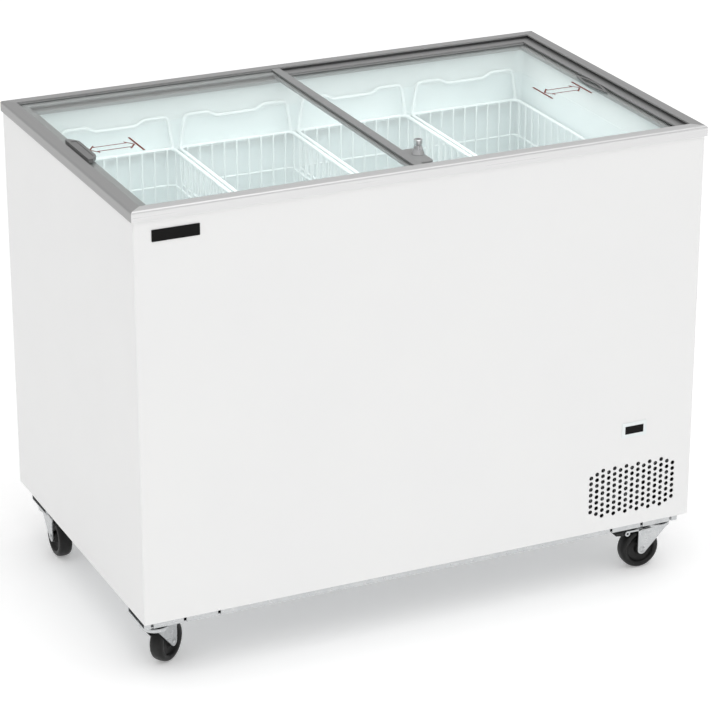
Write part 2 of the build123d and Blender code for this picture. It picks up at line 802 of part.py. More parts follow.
with BuildPart() as compressor:
    block(
        (unit_x - foot_x - 16, compressor_y - foot_y - 16, foot_z),
        (unit_x + foot_x + 16, compressor_y + foot_y + 16, body_z),
    )
    fillet(edges().filter_by(Axis.Z), 12)
    upright(compressor_radius, body_z, compressor_tall, unit_x, compressor_y)
    fillet(edges().group_by(Axis.Z)[-1], 40)
    upright(compressor_radius + 4, body_z + 78, 4, unit_x, compressor_y)
    with Locations((unit_x, compressor_y, foot_z)):
        with GridLocations(2 * foot_x, 2 * foot_y, 2, 2):
            Cylinder(5, 10, mode=Mode.SUBTRACT)
compressor.part.label = "compressor"
export_step(compressor.part, "parts/compressor.step")

with BuildPart() as compressor_grommets:
    with Locations((unit_x, compressor_y, bay_floor + grommet_tall / 2)):
        with GridLocations(2 * foot_x, 2 * foot_y, 2, 2):
            Cylinder(11, grommet_tall)
            Cylinder(4, grommet_tall, mode=Mode.SUBTRACT)
compressor_grommets.part.label = "compressor_grommets"
export_step(compressor_grommets.part, "parts/compressor_grommets.step")

with BuildPart() as relay_box:
    block(
        (unit_x - 30, compressor_y - compressor_radius - 34, body_z + 12),
        (unit_x + 30, compressor_y - 40, body_z + 68),
    )
    fillet(edges().filter_by(Axis.Z).group_by(Axis.Y)[0], 5)
    upright(compressor_radius, body_z, compressor_tall, unit_x, compressor_y, Mode.SUBTRACT)
relay_box.part.label = "relay_box"
export_step(relay_box.part, "parts/relay_box.step")

condenser_wide = 190.0
condenser_deep = 44.0
condenser_z = bay_floor + 10
condenser_y = front_y + 12 + condenser_deep / 2
condenser_rows = 5
condenser_row_pitch = 26.0
condenser_tube = 4.8
fin_count = 24
fin_thick = 0.6
fin_tall = condenser_rows * condenser_row_pitch
with BuildPart() as condenser:
    for index in range(fin_count):
        fin_x = unit_x - condenser_wide / 2 + (index + 0.5) * condenser_wide / fin_count
        block(
            (fin_x - fin_thick / 2, condenser_y - condenser_deep / 2, condenser_z),
            (fin_x + fin_thick / 2, condenser_y + condenser_deep / 2, condenser_z + fin_tall),
        )
    for row in range(condenser_rows):
        row_z = condenser_z + (row + 0.5) * condenser_row_pitch
        for side in (-1, 1):
            with Locations(Location((unit_x, condenser_y + side * condenser_deep / 4, row_z), (0, 90, 0))):
                Cylinder(condenser_tube, condenser_wide)
    for row in range(condenser_rows):
        row_z = condenser_z + (row + 0.5) * condenser_row_pitch
        end_x = unit_x + condenser_wide / 2
        with BuildSketch(Plane.YZ.offset(end_x)):
            with Locations((condenser_y - condenser_deep / 4, row_z)):
                Circle(condenser_tube)
        revolve(axis=Axis((end_x, condenser_y, row_z), (0, 0, 1)), revolution_arc=180)
    for row in range(condenser_rows - 1):
        row_z = condenser_z + (row + 1) * condenser_row_pitch
        side = 1 if row % 2 else -1
        end_x = unit_x - condenser_wide / 2
        bend_y = condenser_y + side * condenser_deep / 4
        with BuildSketch(Plane.YZ.offset(end_x)):
            with Locations((bend_y, row_z - condenser_row_pitch / 2)):
                Circle(condenser_tube)
        revolve(axis=Axis((end_x, bend_y, row_z), (0, 1, 0)), revolution_arc=180)
condenser.part.label = "condenser"
export_step(condenser.part, "parts/condenser.step")

fan_radius = 56.0
fan_z = condenser_z + fin_tall / 2
shroud_y = condenser_y + condenser_deep / 2
shroud_thick = 3.0
motor_y = shroud_y + 34
motor_radius = 26.0
motor_long = 32.0
with BuildPart() as fan_shroud:
    block(
        (unit_x - condenser_wide / 2, shroud_y, bay_floor),
        (unit_x + condenser_wide / 2, shroud_y + shroud_thick, condenser_z + fin_tall),
    )
    with BuildSketch(Plane.XZ.offset(-shroud_y)):
        with Locations((unit_x, fan_z)):
            Circle(fan_radius + 3)
    extrude(amount=-shroud_thick, mode=Mode.SUBTRACT)
    with BuildSketch(Plane.XZ.offset(-shroud_y)):
        with Locations((unit_x, fan_z)):
            Circle(fan_radius + 6)
            Circle(fan_radius + 3, mode=Mode.SUBTRACT)
    extrude(amount=-30)
    for arm in range(4):
        angle = radians(45 + 90 * arm)
        with Locations(
            Location(
                (unit_x + 44 * cos(angle), shroud_y + 31.5, fan_z + 44 * sin(angle)),
                (0, -45 - 90 * arm, 0),
            )
        ):
            Box(42, 3, 9)
    with Locations(Location((unit_x, motor_y + motor_long / 2 - 4, fan_z), (90, 0, 0))):
        Cylinder(motor_radius, motor_long)
fan_shroud.part.label = "fan_shroud"
export_step(fan_shroud.part, "parts/fan_shroud.step")

blade_count = 5
with BuildPart() as fan_blade:
    with Locations(Location((unit_x, shroud_y + 17, fan_z), (90, 0, 0))):
        Cylinder(17, 14)
        for blade in range(blade_count):
            with Locations(Location((0, 0, 0), (0, 0, 360 * blade / blade_count))):
                with Locations(Location((34, 0, 0), (30, 0, 0))):
                    Box(38, 22, 1.6)
    with BuildSketch(Plane.XZ.offset(-shroud_y - 4)):
        with Locations((unit_x, fan_z)):
            Circle(fan_radius)
    extrude(amount=-24, mode=Mode.INTERSECT)
fan_blade.part.label = "fan_blade"
export_step(fan_blade.part, "parts/fan_blade.step")

drier_x = bay_x + 22
drier_y = -95.0
drier_z = bay_floor + 70
with BuildPart() as filter_drier:
    upright(10, drier_z, 80, drier_x, drier_y)
    chamfer(edges().group_by(Axis.Z)[-1], 6)
    chamfer(edges().group_by(Axis.Z)[0], 6)
    block((bay_x, drier_y - 6, drier_z + 34), (drier_x, drier_y + 6, drier_z + 46))
filter_drier.part.label = "filter_drier"
export_step(filter_drier.part, "parts/filter_drier.step")


def pipe(points, radius, bend):
    """A tube of straight runs and bends, in the part being built."""
    with BuildLine() as route:
        FilletPolyline(*points, radius=bend)
    with BuildSketch(Plane(origin=route.line @ 0, z_dir=route.line % 0)) as section:
        Circle(radius)
    sweep(section.sketch, path=route.line)


with BuildPart() as refrigerant_pipes:
    top_row_z = condenser_z + fin_tall - condenser_row_pitch / 2
    low_row_z = condenser_z + condenser_row_pitch / 2
    tube_left = unit_x - condenser_wide / 2
    pipe_x = bay_x + 8
    dome_z = body_z + compressor_tall
    pipe(
        (
            (tube_left, condenser_y - condenser_deep / 4, top_row_z),
            (pipe_x, condenser_y - condenser_deep / 4, top_row_z),
            (pipe_x, condenser_y - condenser_deep / 4, top_row_z + 20),
            (pipe_x, compressor_y - 20, top_row_z + 20),
            (pipe_x, compressor_y - 20, dome_z + 12),
            (unit_x - 20, compressor_y - 20, dome_z + 12),
            (unit_x - 20, compressor_y - 20, dome_z),
        ),
        pipe_radius,
        5.5,
    )
    pipe(
        (
            (tube_left, condenser_y + condenser_deep / 4, low_row_z),
            (pipe_x, condenser_y + condenser_deep / 4, low_row_z),
            (pipe_x, drier_y, low_row_z),
            (drier_x, drier_y, low_row_z),
            (drier_x, drier_y, drier_z),
        ),
        pipe_radius,
        5.5,
    )
    pipe(
        (
            (bay_x, compressor_y + 20, bay_top - 14),
            (unit_x + 10, compressor_y + 20, bay_top - 14),
            (unit_x + 10, compressor_y + 20, dome_z),
        ),
        pipe_radius + 1,
        9,
    )
refrigerant_pipes.part.label = "refrigerant_pipes"
export_step(refrigerant_pipes.part, "parts/refrigerant_pipes.step")

# ---------------------------------------------------------------- base rails and castors
castor_x = half_w - castor_in_x
castor_front = -half_d + castor_in_front
castor_rear = half_d - castor_in_rear
web_z = casing_bottom - base_rail_tall
plate_z = web_z - castor_plate_thick
race_z = plate_z - race_tall
crown_top = race_z - slide_gap
crown_low = crown_top - crown_thick
castor_places = (
    ("front_left", -castor_x, castor_front, 38.0, True),
    ("front_right", castor_x, castor_front, 180.0, True),
    ("rear_left", -castor_x, castor_rear, 270.0, False),
    ("rear_right", castor_x, castor_rear, 240.0, False),
)
front_rail_y = -casing_d + base_rail_setback
rear_rail_y = casing_d - rear_rail_setback
rail_half = casing_w - base_rail_end
notch_places = (14.0, 73.0, 135.0)
notch_wide = 5.0

with BuildPart() as base_rails:
    for low_y in (front_rail_y, rear_rail_y - base_rail_wide):
        high_y = low_y + base_rail_wide
        block((-rail_half, low_y, web_z), (rail_half, high_y, casing_bottom))
        block(
            (-rail_half - 1, low_y + rail_web, web_z + rail_web),
            (rail_half + 1, high_y - rail_web, casing_bottom + 1),
            Mode.SUBTRACT,
        )
    for end in (-1, 1):
        for place in notch_places:
            x = end * (rail_half - place)
            block(
                (x - notch_wide / 2, front_rail_y - 1, web_z - 1),
                (x + notch_wide / 2, front_rail_y + rail_web, web_z + base_rail_tall / 2),
                Mode.SUBTRACT,
            )
    for _, x, y, _, _ in castor_places:
        upright(stem_radius + 0.2, web_z - 1, rail_web + 2, x, y, Mode.SUBTRACT)
base_rails.part.label = "base_rails"
export_step(base_rails.part, "parts/base_rails.step")

with BuildPart() as castor_plates:
    for _, x, y, _, _ in castor_places:
        upright(castor_plate_radius, plate_z, castor_plate_thick, x, y)
        upright(stem_radius, web_z, rail_web + stem_above, x, y)
        upright(race_radius, race_z, race_tall, x, y)
        upright(kingpin_radius, crown_low - slide_gap, race_z - crown_low + slide_gap, x, y)
        upright(kingpin_radius + 4, crown_low - slide_gap - 3, 3, x, y)
castor_plates.part.label = "castor_plates"
export_step(castor_plates.part, "parts/castor_plates.step")

with BuildPart() as mounting_bolts:
    for _, x, y, _, _ in castor_places:
        with BuildSketch(Plane.XY.offset(web_z + rail_web)):
            with Locations((x, y)):
                RegularPolygon(stem_nut, 6)
                Circle(stem_radius + running_fit, mode=Mode.SUBTRACT)
        extrude(amount=stem_above - 3)
    with Locations((unit_x, compressor_y, bay_floor)):
        with GridLocations(2 * foot_x, 2 * foot_y, 2, 2):
            Cylinder(3.5, grommet_tall + foot_thick, align=(Align.CENTER, Align.CENTER, Align.MIN))
    with BuildSketch(Plane.XY.offset(body_z)):
        with Locations((unit_x, compressor_y)):
            with GridLocations(2 * foot_x, 2 * foot_y, 2, 2):
                RegularPolygon(bolt_head, 6)
    extrude(amount=4)
mounting_bolts.part.label = "mounting_bolts"
export_step(mounting_bolts.part, "parts/mounting_bolts.step")

leg_radius = 8.5
leg_out = fork_gap / 2 + fork_leg
web_half = wheel_wide / 2 - 7
rim_in = wheel_radius - 9.5
leg_lead = 18.5  # the leg's top edge ahead of the swivel axis
for corner, x, y, trail_angle, braked in castor_places:
    place = Location((x, y, 0), (0, 0, trail_angle))
    with BuildPart() as castor_fork:
        upright(crown_radius, crown_low, crown_thick + crown_rim_tall)
        upright(crown_radius - crown_rim, crown_top, crown_rim_tall + 1, mode=Mode.SUBTRACT)
        block((0, -leg_out, crown_low), (castor_trail + leg_radius, leg_out, crown_top))
        for side in (-1, 1):
            leg_face = side * leg_out
            with BuildSketch(Plane.XZ.offset(-leg_face)):
                with Locations((castor_trail, wheel_radius)):
                    Circle(leg_radius)
                with Locations(((castor_trail + leg_radius - leg_lead) / 2, crown_top - 2)):
                    Rectangle(castor_trail + leg_radius + leg_lead, 4)
                make_hull()
                if braked:
                    with BuildSketch(mode=Mode.PRIVATE) as lug:
                        with Locations((castor_trail, crown_top - 3)):
                            Rectangle(12, 6)
                        with Locations((pedal_reach, pedal_height)):
                            Circle(lug_radius)
                        make_hull()
                    add(lug.sketch)
            extrude(amount=side * fork_leg)
        upright(kingpin_radius + running_fit, crown_low - 1, crown_thick + 2, mode=Mode.SUBTRACT)
        with Locations(Location((castor_trail, 0, wheel_radius), (90, 0, 0))):
            Cylinder(axle_radius, 2 * leg_out + 4)
            for side in (-1, 1):
                with Locations((0, 0, side * (leg_out + 1.5))):
                    Cylinder(6.5, 3)
        if braked:
            with Locations(Location((pedal_reach, 0, pedal_height), (90, 0, 0))):
                Cylinder(pedal_pin, 2 * leg_out)
    castor_fork.part.move(place)
    castor_fork.part.label = f"castor_fork_{corner}"
    export_step(castor_fork.part, f"parts/castor_fork_{corner}.step")

    with BuildPart() as castor_wheel:
        with BuildSketch(Plane.YZ):
            with BuildLine():
                Polyline(
                    (-wheel_hub / 2, 0), (-wheel_hub / 2, 10), (-web_half, 12),
                    (-web_half, rim_in - 2), (-wheel_wide / 2, rim_in), (-wheel_wide / 2, wheel_radius),
                    (wheel_wide / 2, wheel_radius), (wheel_wide / 2, rim_in), (web_half, rim_in - 2),
                    (web_half, 12), (wheel_hub / 2, 10), (wheel_hub / 2, 0),
                    close=True,
                )
            make_face()
            fillet(vertices().group_by(Axis.Y)[-1], 5)
        revolve(axis=Axis.Y)
        with Locations(Location((0, 0, 0), (90, 0, 0))):
            Cylinder(axle_radius + running_fit, wheel_hub + 2, mode=Mode.SUBTRACT)
    castor_wheel.part.move(place * Location((castor_trail, 0, wheel_radius)))
    castor_wheel.part.label = f"castor_wheel_{corner}"
    export_step(castor_wheel.part, f"parts/castor_wheel_{corner}.step")

    if braked:
        with BuildPart() as brake_pedal:
            pedal_half = fork_gap / 2 - 0.7
            with BuildSketch(Plane.XZ.offset(-pedal_half)):
                with Locations((pedal_reach, pedal_height)):
                    Circle(4.2)
                with BuildLine():
                    Polyline(
                        (pedal_reach - 3, pedal_height + 1), (pedal_reach + 3, pedal_height + 4.2),
                        (pedal_reach + 20, pedal_height + 2), (pedal_reach + 22, pedal_height - 2),
                        (pedal_reach + 8, pedal_height - 4), (pedal_reach, pedal_height - 4),
                        close=True,
                    )
                make_face()
                with Locations((pedal_reach, pedal_height)):
                    Circle(pedal_pin + running_fit, mode=Mode.SUBTRACT)
            extrude(amount=2 * pedal_half)
        brake_pedal.part.move(place)
        brake_pedal.part.label = f"brake_pedal_{corner}"
        export_step(brake_pedal.part, f"parts/brake_pedal_{corner}.step")
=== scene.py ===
"""Ice-cream display chest: the visual model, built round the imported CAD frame. Metres, Z up."""
import json
import math

import bmesh
import bpy
from mathutils import Matrix, Vector
from mathutils.geometry import convex_hull_2d


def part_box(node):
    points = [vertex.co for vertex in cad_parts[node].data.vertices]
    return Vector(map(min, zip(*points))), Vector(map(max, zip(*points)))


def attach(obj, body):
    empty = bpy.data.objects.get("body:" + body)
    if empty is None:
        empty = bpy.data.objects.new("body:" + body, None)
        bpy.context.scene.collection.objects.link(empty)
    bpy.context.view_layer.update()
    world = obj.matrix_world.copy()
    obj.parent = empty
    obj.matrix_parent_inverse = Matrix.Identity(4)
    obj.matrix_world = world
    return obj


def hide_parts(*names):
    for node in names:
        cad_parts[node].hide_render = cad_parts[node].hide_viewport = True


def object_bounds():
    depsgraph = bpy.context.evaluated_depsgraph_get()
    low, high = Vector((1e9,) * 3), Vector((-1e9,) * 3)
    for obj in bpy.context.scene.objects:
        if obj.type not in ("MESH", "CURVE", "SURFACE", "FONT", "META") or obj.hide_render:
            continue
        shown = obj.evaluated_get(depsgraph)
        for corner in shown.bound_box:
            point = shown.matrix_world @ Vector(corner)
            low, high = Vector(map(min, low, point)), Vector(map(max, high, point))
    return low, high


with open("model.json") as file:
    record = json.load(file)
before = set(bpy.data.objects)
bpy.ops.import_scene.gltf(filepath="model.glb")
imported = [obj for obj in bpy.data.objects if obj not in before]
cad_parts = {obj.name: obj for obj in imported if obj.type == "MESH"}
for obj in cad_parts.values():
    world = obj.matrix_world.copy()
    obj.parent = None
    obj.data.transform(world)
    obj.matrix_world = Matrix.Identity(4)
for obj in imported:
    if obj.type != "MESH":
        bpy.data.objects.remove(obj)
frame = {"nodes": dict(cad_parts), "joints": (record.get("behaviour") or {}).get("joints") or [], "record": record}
cad_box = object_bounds()
record = frame["record"]
nodes = frame["nodes"]
MM = 0.001


# ---------------------------------------------------------------- materials
def srgb(code):
    """The linear colour of an sRGB hex code."""
    parts = [int(code[i : i + 2], 16) / 255 for i in (1, 3, 5)]
    return tuple(p / 12.92 if p <= 0.04045 else ((p + 0.055) / 1.055) ** 2.4 for p in parts) + (1.0,)


def per_mm(size):
    """The texture scale whose features are size millimetres wide, in object coordinates."""
    return 1 / (size * MM)


def add_node(tree, kind, inputs=None, **settings):
    """One node with its settings, its input values and its incoming links."""
    made = tree.nodes.new(kind)
    for name, value in settings.items():
        setattr(made, name, value)
    for name, value in (inputs or {}).items():
        if isinstance(value, bpy.types.NodeSocket):
            tree.links.new(value, made.inputs[name])
        else:
            made.inputs[name].default_value = value
    return made


def finish_of(name, colour, roughness, **sockets):
    """A material with one Principled shader: its tree and shader are returned with it."""
    material = bpy.data.materials.new(name)
    material.use_nodes = True
    tree = material.node_tree
    shader = tree.nodes["Principled BSDF"]
    shader.inputs["Base Color"].default_value = srgb(colour)
    shader.inputs["Roughness"].default_value = roughness
    for socket, value in sockets.items():
        shader.inputs[socket.replace("_", " ")].default_value = value
    return material, tree, shader


def pattern(tree, size, stretch=(1, 1, 1), detail=3.0):
    """Noise with features of size millimetres, pulled out along the axes that stretch makes small."""
    place = add_node(tree, "ShaderNodeTexCoord")
    spread = add_node(tree, "ShaderNodeMapping", {"Vector": place.outputs["Object"], "Scale": stretch})
    noise = add_node(tree, "ShaderNodeTexNoise", {"Vector": spread.outputs["Vector"],
                                                  "Scale": per_mm(size), "Detail": detail})
    return noise.outputs["Fac"]


def vary(tree, shader, socket, source, low, high):
    """The pattern drives a number on the shader between two values."""
    band = add_node(tree, "ShaderNodeMapRange", {"Value": source, "From Min": 0.3, "From Max": 0.7,
                                                 "To Min": low, "To Max": high})
    tree.links.new(band.outputs["Result"], shader.inputs[socket])


def tint(tree, shader, source, first, second):
    """The pattern mixes the base colour between two hex colours."""
    mix = add_node(tree, "ShaderNodeMix", None, data_type="RGBA")
    tree.links.new(source, mix.inputs[0])
    mix.inputs[6].default_value = srgb(first)
    mix.inputs[7].default_value = srgb(second)
    tree.links.new(mix.outputs[2], shader.inputs["Base Color"])


def emboss(tree, shader, source, depth, strength=1.0):
    """The pattern raises the surface by depth millimetres."""
    bump = add_node(tree, "ShaderNodeBump", {"Height": source, "Distance": depth * MM, "Strength": strength})
    tree.links.new(bump.outputs["Normal"], shader.inputs["Normal"])


def coil_coated_steel(name, first, second):
    """Coil-coated steel: an even, hard, slightly glossy white with a faint orange peel."""
    material, tree, shader = finish_of(name, first, 0.38, IOR=1.5, Coat_Weight=0.15, Coat_Roughness=0.2)
    tint(tree, shader, pattern(tree, 180), first, second)
    vary(tree, shader, "Roughness", pattern(tree, 60), 0.34, 0.44)
    emboss(tree, shader, pattern(tree, 1.6, detail=2.0), 0.02, 0.35)
    return material


def anodised(name, first, second, along, roughness, metal=1.0):
    """Satin anodised extrusion: fine die lines run along its length and blur what it mirrors."""
    material, tree, shader = finish_of(name, first, roughness, Metallic=metal)
    lines = pattern(tree, 1.2, along, 4.0)
    tint(tree, shader, pattern(tree, 45, along), first, second)
    vary(tree, shader, "Roughness", lines, roughness - 0.05, roughness + 0.07)
    emboss(tree, shader, lines, 0.012, 0.6)
    return material


def moulded(name, first, second, roughness, grain=0.8, depth=0.03, shine=0.5):
    """Injection-moulded plastic: even colour with a fine spark-eroded grain."""
    material, tree, shader = finish_of(name, first, roughness, Specular_IOR_Level=shine)
    tint(tree, shader, pattern(tree, 30), first, second)
    vary(tree, shader, "Roughness", pattern(tree, 12), roughness - 0.04, roughness + 0.06)
    emboss(tree, shader, pattern(tree, grain, detail=2.0), depth, 0.5)
    return material


def stucco_liner():
    """Stucco-embossed white aluminium: shallow pebbles, drawn 5 mm wide so that they show."""
    material, tree, shader = finish_of("liner_stucco_white_aluminium", "#F1F8F8", 0.42, IOR=1.5)
    tint(tree, shader, pattern(tree, 140), "#F3FAFA", "#E9F2F3")
    emboss(tree, shader, pattern(tree, 5.0, detail=1.0), 0.12, 0.4)
    return material


def tempered_glass():
    """Clear float glass, 4 mm, a faint blue-green from its iron; lamps pass through it."""
    material, tree, shader = finish_of("tempered_float_glass", "#FBFEFD", 0.0, IOR=1.45,
                                       Transmission_Weight=1.0)
    path = add_node(tree, "ShaderNodeLightPath")
    clear = add_node(tree, "ShaderNodeBsdfTransparent", {"Color": srgb("#FAFDFC")})
    lit = add_node(tree, "ShaderNodeMixShader", {0: path.outputs["Is Shadow Ray"], 1: shader.outputs["BSDF"],
                                                 2: clear.outputs["BSDF"]})
    tree.links.new(lit.outputs["Shader"], tree.nodes["Material Output"].inputs["Surface"])
    return material


def zinc_plated():
    """Bright zinc plate on pressed steel: cool, softly mirrored, with the spangle of the bath."""
    material, tree, shader = finish_of("bright_zinc_plate", "#C9CBCC", 0.3, Metallic=1.0)
    tint(tree, shader, pattern(tree, 9), "#D2D3D3", "#B9BCBE")
    vary(tree, shader, "Roughness", pattern(tree, 6), 0.24, 0.4)
    emboss(tree, shader, pattern(tree, 2.5), 0.02, 0.4)
    return material


def galvanised_sheet():
    """Hot-dip galvanised sheet: large pale grey crystals, half matt."""
    material, tree, shader = finish_of("galvanised_sheet", "#CFD2D3", 0.45, Metallic=0.6)
    place = add_node(tree, "ShaderNodeTexCoord")
    cells = add_node(tree, "ShaderNodeTexVoronoi", {"Vector": place.outputs["Object"], "Scale": per_mm(14)})
    tint(tree, shader, cells.outputs["Distance"], "#DADCDD", "#C2C5C7")
    vary(tree, shader, "Roughness", cells.outputs["Distance"], 0.36, 0.52)
    return material


def wheel_polymer():
    """Moulded wheel, black and slightly dusty on the tread."""
    material, tree, shader = finish_of("black_moulded_wheel", "#0C0C0C", 0.4, Specular_IOR_Level=0.35)
    tint(tree, shader, pattern(tree, 7), "#0A0A0A", "#161615")
    vary(tree, shader, "Roughness", pattern(tree, 5), 0.34, 0.5)
    emboss(tree, shader, pattern(tree, 1.2), 0.05, 0.5)
    return material


def bright_chrome():
    """Bright chrome plate on a turned brass barrel, with faint turning rings."""
    material, tree, shader = finish_of("bright_chrome_plate", "#DADBDC", 0.07, Metallic=1.0)
    rings = pattern(tree, 0.8, (0.05, 0.05, 1), 2.0)
    vary(tree, shader, "Roughness", rings, 0.05, 0.13)
    emboss(tree, shader, rings, 0.008, 0.4)
    return material


def drawn_copper():
    """Drawn copper tube, dulled by handling."""
    material, tree, shader = finish_of("drawn_copper", "#B87556", 0.32, Metallic=1.0)
    tint(tree, shader, pattern(tree, 15), "#C07C5A", "#8F5A42")
    vary(tree, shader, "Roughness", pattern(tree, 8), 0.25, 0.45)
    return material


def printed_ink():
    """Screen-printed ceramic ink on the pane, red brown."""
    material, tree, shader = finish_of("red_brown_ink", "#7E2F22", 0.6)
    tint(tree, shader, pattern(tree, 4), "#863325", "#74291D")
    return material


ALONG_X = (0.004, 1, 1)
ALONG_Y = (1, 0.004, 1)
finishes = {
    "white_enamel": coil_coated_steel("white_coil_coated_steel", "#F4F4F3", "#F1F1F1"),
    "rear_steel": coil_coated_steel("rear_coil_coated_steel", "#ECECEB", "#E6E7E7"),
    # The front rail's finish: its own satin silver, made lighter than the grey rails as a painted highlight for
    # the light that falls on its rounded top and face.
    "satin_aluminium": anodised("satin_aluminium_painted_lighter", "#E6E6E6", "#DDDDDD", ALONG_X, 0.32, 0.6),
    "grey_frame": anodised("grey_anodised_across", "#ABABAB", "#A1A1A1", ALONG_Y, 0.4, 0.35),
    "grey_edging": moulded("grey_lid_extrusion", "#A0A1A1", "#979898", 0.42),
    "grip_grey": moulded("grey_grip_moulding", "#868686", "#7C7C7C", 0.4),
    "brush_fibre": moulded("dark_pile_seal", "#3A3A3A", "#2C2C2C", 0.9, 0.6, 0.2),
    "white_moulding": moulded("white_satin_moulding", "#F2F7F7", "#ECF2F2", 0.4),
    "foam": moulded("rigid_foam", "#EADFB8", "#DDD0A4", 0.9, 1.5, 0.3),
    "galvanised": galvanised_sheet(),
    "zinc_plate": zinc_plated(),
    "black_wheel": wheel_polymer(),
    "black_plastic": moulded("black_moulding", "#0E0E0E", "#090909", 0.45),
    "black_gloss": moulded("black_satin_panel", "#030303", "#060606", 0.35, 2.0, 0.005, 0.15),
    "chrome_lock": bright_chrome(),
    "basket_coat": moulded("white_plastic_coated_wire", "#F4F9F9", "#ECF3F4", 0.32, 3.0, 0.02),
    "copper_tube": drawn_copper(),
    "aluminium_fins": anodised("mill_finish_aluminium", "#B9BBBC", "#A7A9AA", ALONG_X, 0.38),
    "black_enamel": coil_coated_steel("black_enamelled_steel", "#141414", "#1B1B1B"),
    "rubber_mount": moulded("black_rubber", "#1C1C1C", "#151515", 0.7, 1.5, 0.08),
    "white_liner": stucco_liner(),
    "pane": tempered_glass(),
}
grey_along = anodised("grey_anodised_along", "#B4B4B4", "#A9A9A9", ALONG_X, 0.4, 0.35)
ink = printed_ink()

for entry in record["subparts"]:
    mesh = nodes[entry["node"]].data
    mesh.materials.clear()
    mesh.materials.append(finishes[entry["material_slot"]])
nodes["rear_rail"].data.materials.clear()
nodes["rear_rail"].data.materials.append(grey_along)


# ---------------------------------------------------------------- mesh helpers
def piece_from(name, build, finish, smooth=True):
    """A mesh object from a bmesh, with one finish."""
    mesh = bpy.data.meshes.new(name)
    bmesh.ops.recalc_face_normals(build, faces=build.faces)
    build.to_mesh(mesh)
    build.free()
    if smooth:
        mesh.shade_smooth()
    mesh.materials.append(finish)
    piece = bpy.data.objects.new(name, mesh)
    bpy.context.scene.collection.objects.link(piece)
    return piece


def soften(piece, width, segments=3, angle=35):
    """Rounds a piece's sharp edges, in millimetres, and keeps its flats flat."""
    bevel = piece.modifiers.new("soft_edges", "BEVEL")
    bevel.width = width * MM
    bevel.segments = segments
    bevel.limit_method = "ANGLE"
    bevel.angle_limit = math.radians(angle)
    bevel.harden_normals = True
    return piece


def wire(name, paths, radius, finish, closed=False):
    """Round bars along paths of points in metres, as one curve."""
    curve = bpy.data.curves.new(name, "CURVE")
    curve.dimensions = "3D"
    curve.bevel_depth = radius
    curve.bevel_resolution = 3
    curve.use_fill_caps = True
    for points in paths:
        spline = curve.splines.new("POLY")
        spline.points.add(len(points) - 1)
        for point, place in zip(spline.points, points):
            point.co = (*place, 1)
        spline.use_cyclic_u = closed
    curve.materials.append(finish)
    piece = bpy.data.objects.new(name, curve)
    bpy.context.scene.collection.objects.link(piece)
    return piece


def rounded_path(corners, radius, steps=6, closed=False):
    """The corners joined by straight runs, each corner turned by a smooth bend of about that radius."""
    count = len(corners)
    path = []
    for index, corner in enumerate(corners):
        if not closed and index in (0, count - 1):
            path.append(Vector(corner))
            continue
        here = Vector(corner)
        before = Vector(corners[index - 1]) - here
        after = Vector(corners[(index + 1) % count]) - here
        half = before.angle(after) / 2
        reach = min(radius / math.tan(half), 0.49 * before.length, 0.49 * after.length)
        start = here + before.normalized() * reach
        end = here + after.normalized() * reach
        for step in range(steps + 1):
            t = step / steps
            path.append(start * (1 - t) ** 2 + here * (2 * t * (1 - t)) + end * t**2)
    return path


def slab(build, outline, low, high, place=Matrix.Identity(4)):
    """A plate with that outline between two heights, through a placing matrix."""
    bottom = [build.verts.new(place @ Vector((x, y, low))) for x, y in outline]
    top = [build.verts.new(place @ Vector((x, y, high))) for x, y in outline]
    build.faces.new(bottom[::-1])
    build.faces.new(top)
    for i in range(len(outline)):
        j = (i + 1) % len(outline)
        build.faces.new((bottom[i], bottom[j], top[j], top[i]))


def turned(build, profile, place=Matrix.Identity(4), steps=48):
    """A turned body: the profile of (radius, height) points spun about the placed Z axis."""
    rings = []
    for radius, height in profile:
        if radius < 1e-6:
            rings.append([build.verts.new(place @ Vector((0, 0, height)))])
            continue
        turn = [2 * math.pi * i / steps for i in range(steps)]
        points = [Vector((radius * math.cos(a), radius * math.sin(a), height)) for a in turn]
        rings.append([build.verts.new(place @ point) for point in points])
    for first, second in zip(rings, rings[1:]):
        for i in range(steps):
            j = (i + 1) % steps
            corners = [first[i % len(first)], first[j % len(first)]]
            corners += [second[j % len(second)], second[i % len(second)]]
            build.faces.new(list(dict.fromkeys(corners)))


# ---------------------------------------------------------------- baskets
WIRE = 1.7 * MM
RIM_WIRE = 3.0 * MM
HOOP_WIRE = 3.2 * MM
WIRE_PITCH = 26 * MM
WIRE_BEND = 12 * MM
END_GAP = 12 * MM
TUB_CORNER = 14 * MM
BAND_DROPS = (70 * MM, 150 * MM)
HOOP_RISE = 60 * MM
HOOP_DIP = 9 * MM
HOOP_FOOT = 107 * MM
HOOP_SHOULDER = 98 * MM
DIP_TOP = 54 * MM
DIP_FLOOR = 38 * MM


